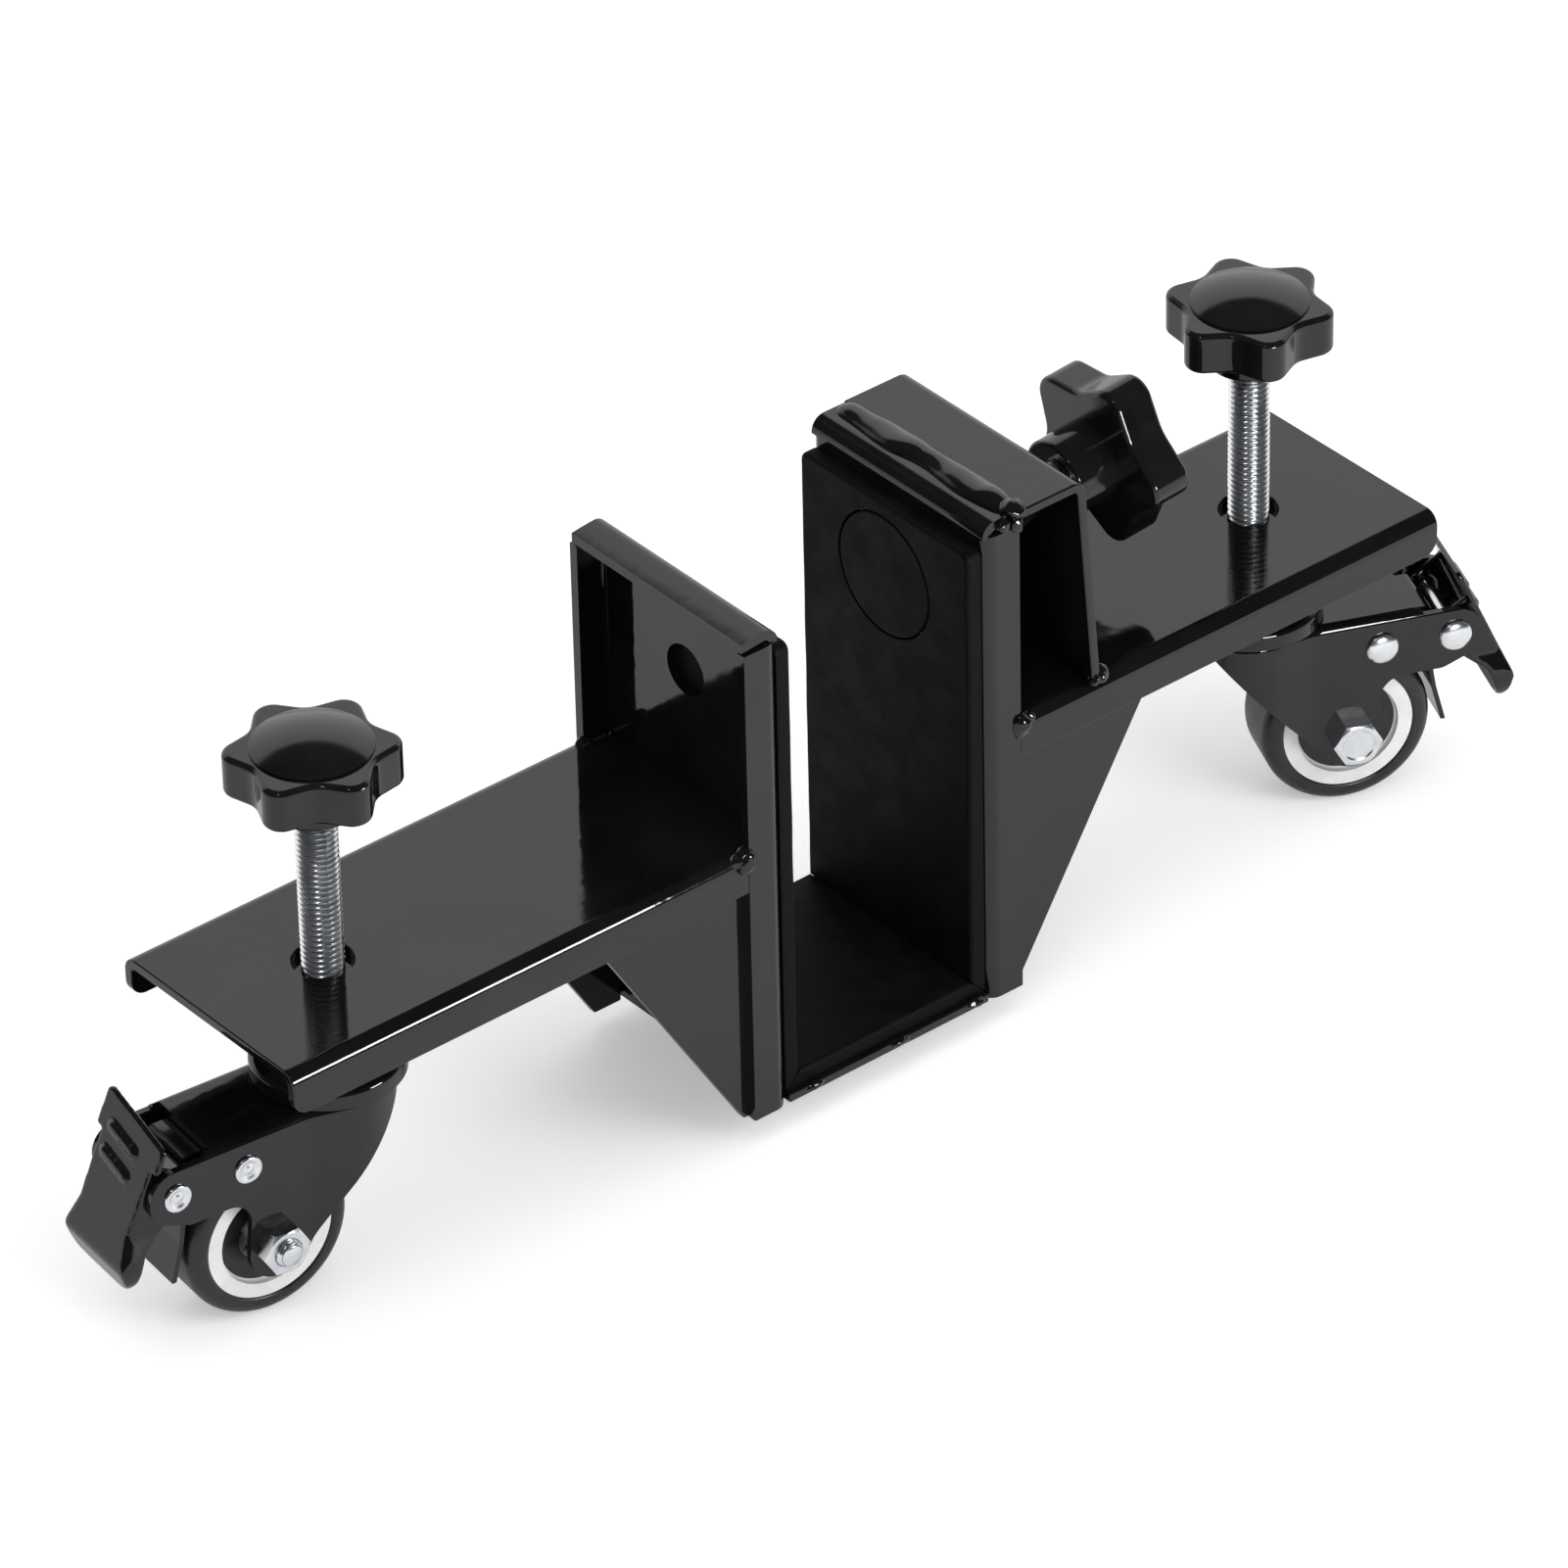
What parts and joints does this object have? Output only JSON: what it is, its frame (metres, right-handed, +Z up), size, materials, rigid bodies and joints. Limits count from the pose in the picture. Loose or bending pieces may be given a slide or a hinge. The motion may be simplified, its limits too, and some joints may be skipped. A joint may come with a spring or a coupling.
{
  "type": "door dolly",
  "caption": "Two-caster dolly that carries a door on edge in a padded slot, with a screw clamp and screw-jacked braked swivel casters under its side arms.",
  "frame": {"origin": "middle of the floor pad's top face, where the door's lower edge stands", "axes": "+Z up; X across the door, the clamp at +X; Y along the door, the pictured front at -Y"},
  "size_m": [0.4887, 0.0821, 0.1742],
  "materials": {
    "black_paint": "gloss black enamel",
    "knob_plastic": "gloss black moulding",
    "zinc": "bright zinc plate",
    "pad_rubber": "matt black grained rubber",
    "tread": "satin black polyurethane",
    "core_white": "white moulded core",
    "bearing_steel": "ground steel"
  },
  "bodies": {
    "frame": {"base_plate": "black_paint", "clamp_bracket": "black_paint", "clamp_sleeve": "black_paint", "weld_beads": "black_paint", "floor_pad": "pad_rubber", "left_upright": "black_paint", "left_arm": "black_paint", "left_front_gusset": "black_paint", "left_back_gusset": "black_paint", "left_lift_nut": "black_paint", "left_pad": "pad_rubber", "right_upright": "black_paint", "right_arm": "black_paint", "right_front_gusset": "black_paint", "right_back_gusset": "black_paint", "right_lift_nut": "black_paint", "right_pad": "pad_rubber"},
    "clamp_foot": {"pressure_disc": "black_paint", "disc_pad": "pad_rubber"},
    "clamp_spindle": {"clamp_knob": "knob_plastic", "clamp_screw": "zinc"},
    "left_carrier": {"left_swivel_balls": "bearing_steel"},
    "left_spindle": {"left_knob": "knob_plastic", "left_lift_screw": "zinc", "left_upper_race": "black_paint", "left_kingpin": "zinc"},
    "left_caster": {"left_fork": "black_paint", "left_axle_bolt": "zinc", "left_axle_nut": "zinc", "left_axle_sleeve": "zinc", "left_brake_rivets": "zinc"},
    "left_wheel": {"left_tyre": "tread", "left_wheel_core": "core_white", "left_wheel_bearings": "bearing_steel"},
    "left_pedal": {"left_brake_pedal": "black_paint"},
    "left_shoe": {"left_brake_shoe": "black_paint"},
    "right_carrier": {"right_swivel_balls": "bearing_steel"},
    "right_spindle": {"right_knob": "knob_plastic", "right_lift_screw": "zinc", "right_upper_race": "black_paint", "right_kingpin": "zinc"},
    "right_caster": {"right_fork": "black_paint", "right_axle_bolt": "zinc", "right_axle_nut": "zinc", "right_axle_sleeve": "zinc", "right_brake_rivets": "zinc"},
    "right_wheel": {"right_tyre": "tread", "right_wheel_core": "core_white", "right_wheel_bearings": "bearing_steel"},
    "right_pedal": {"right_brake_pedal": "black_paint"},
    "right_shoe": {"right_brake_shoe": "black_paint"}
  },
  "joints": [
    {"name": "clamp_slide", "type": "slide", "parent": "frame", "child": "clamp_foot", "axis": [-0.9968, 0, -0.0795], "range_m": [0, 0.018]},
    {"name": "clamp_turn", "type": "hinge", "parent": "clamp_foot", "child": "clamp_spindle", "pos_m": [0.038, 0, 0.12], "axis": [-0.9968, 0, -0.0795], "range_deg": [0, 3703.06]},
    {"name": "left_lift", "type": "slide", "parent": "frame", "child": "left_carrier", "axis": [0, 0, -1], "range_m": [0, 0.045]},
    {"name": "left_knob_turn", "type": "hinge", "parent": "left_carrier", "child": "left_spindle", "pos_m": [-0.167, 0, 0.083], "axis": [0, 0, -1], "range_deg": [0, 9257.34]},
    {"name": "left_swivel", "type": "hinge", "parent": "left_carrier", "child": "left_caster", "pos_m": [-0.167, 0, 0.0497], "axis": [0, 0, 1], "continuous": true},
    {"name": "left_wheel_spin", "type": "hinge", "parent": "left_caster", "child": "left_wheel", "pos_m": [-0.19417, 0.00271, 0.0084], "axis": [-0.0993, -0.9951, 0], "continuous": true},
    {"name": "left_brake", "type": "hinge", "parent": "left_caster", "child": "left_pedal", "pos_m": [-0.22471, 0.00576, 0.0373], "axis": [-0.0993, -0.9951, 0], "range_deg": [0, 14]},
    {"name": "left_shoe_turn", "type": "hinge", "parent": "left_caster", "child": "left_shoe", "pos_m": [-0.20252, 0.00355, 0.0373], "axis": [-0.0993, -0.9951, 0], "range_deg": [0, 2.8]},
    {"name": "right_lift", "type": "slide", "parent": "frame", "child": "right_carrier", "axis": [0, 0, -1], "range_m": [0, 0.045]},
    {"name": "right_knob_turn", "type": "hinge", "parent": "right_carrier", "child": "right_spindle", "pos_m": [0.167, 0, 0.083], "axis": [0, 0, -1], "range_deg": [0, 9257.34]},
    {"name": "right_swivel", "type": "hinge", "parent": "right_carrier", "child": "right_caster", "pos_m": [0.167, 0, 0.0497], "axis": [0, 0, 1], "continuous": true},
    {"name": "right_wheel_spin", "type": "hinge", "parent": "right_caster", "child": "right_wheel", "pos_m": [0.19207, -0.0108, 0.0084], "axis": [0.3955, 0.9184, 0], "continuous": true},
    {"name": "right_brake", "type": "hinge", "parent": "right_caster", "child": "right_pedal", "pos_m": [0.22027, -0.02294, 0.0373], "axis": [0.3955, 0.9184, 0], "range_deg": [0, 14]},
    {"name": "right_shoe_turn", "type": "hinge", "parent": "right_caster", "child": "right_shoe", "pos_m": [0.19979, -0.01412, 0.0373], "axis": [0.3955, 0.9184, 0], "range_deg": [0, 2.8]}
  ],
  "couplings": [
    {"joint": "clamp_turn", "follows": "clamp_slide", "rad_per_m": 3590.4},
    {"joint": "left_knob_turn", "follows": "left_lift", "rad_per_m": 3590.4},
    {"joint": "left_shoe_turn", "follows": "left_brake", "ratio": 0.2},
    {"joint": "right_knob_turn", "follows": "right_lift", "rad_per_m": 3590.4},
    {"joint": "right_shoe_turn", "follows": "right_brake", "ratio": 0.2}
  ]
}
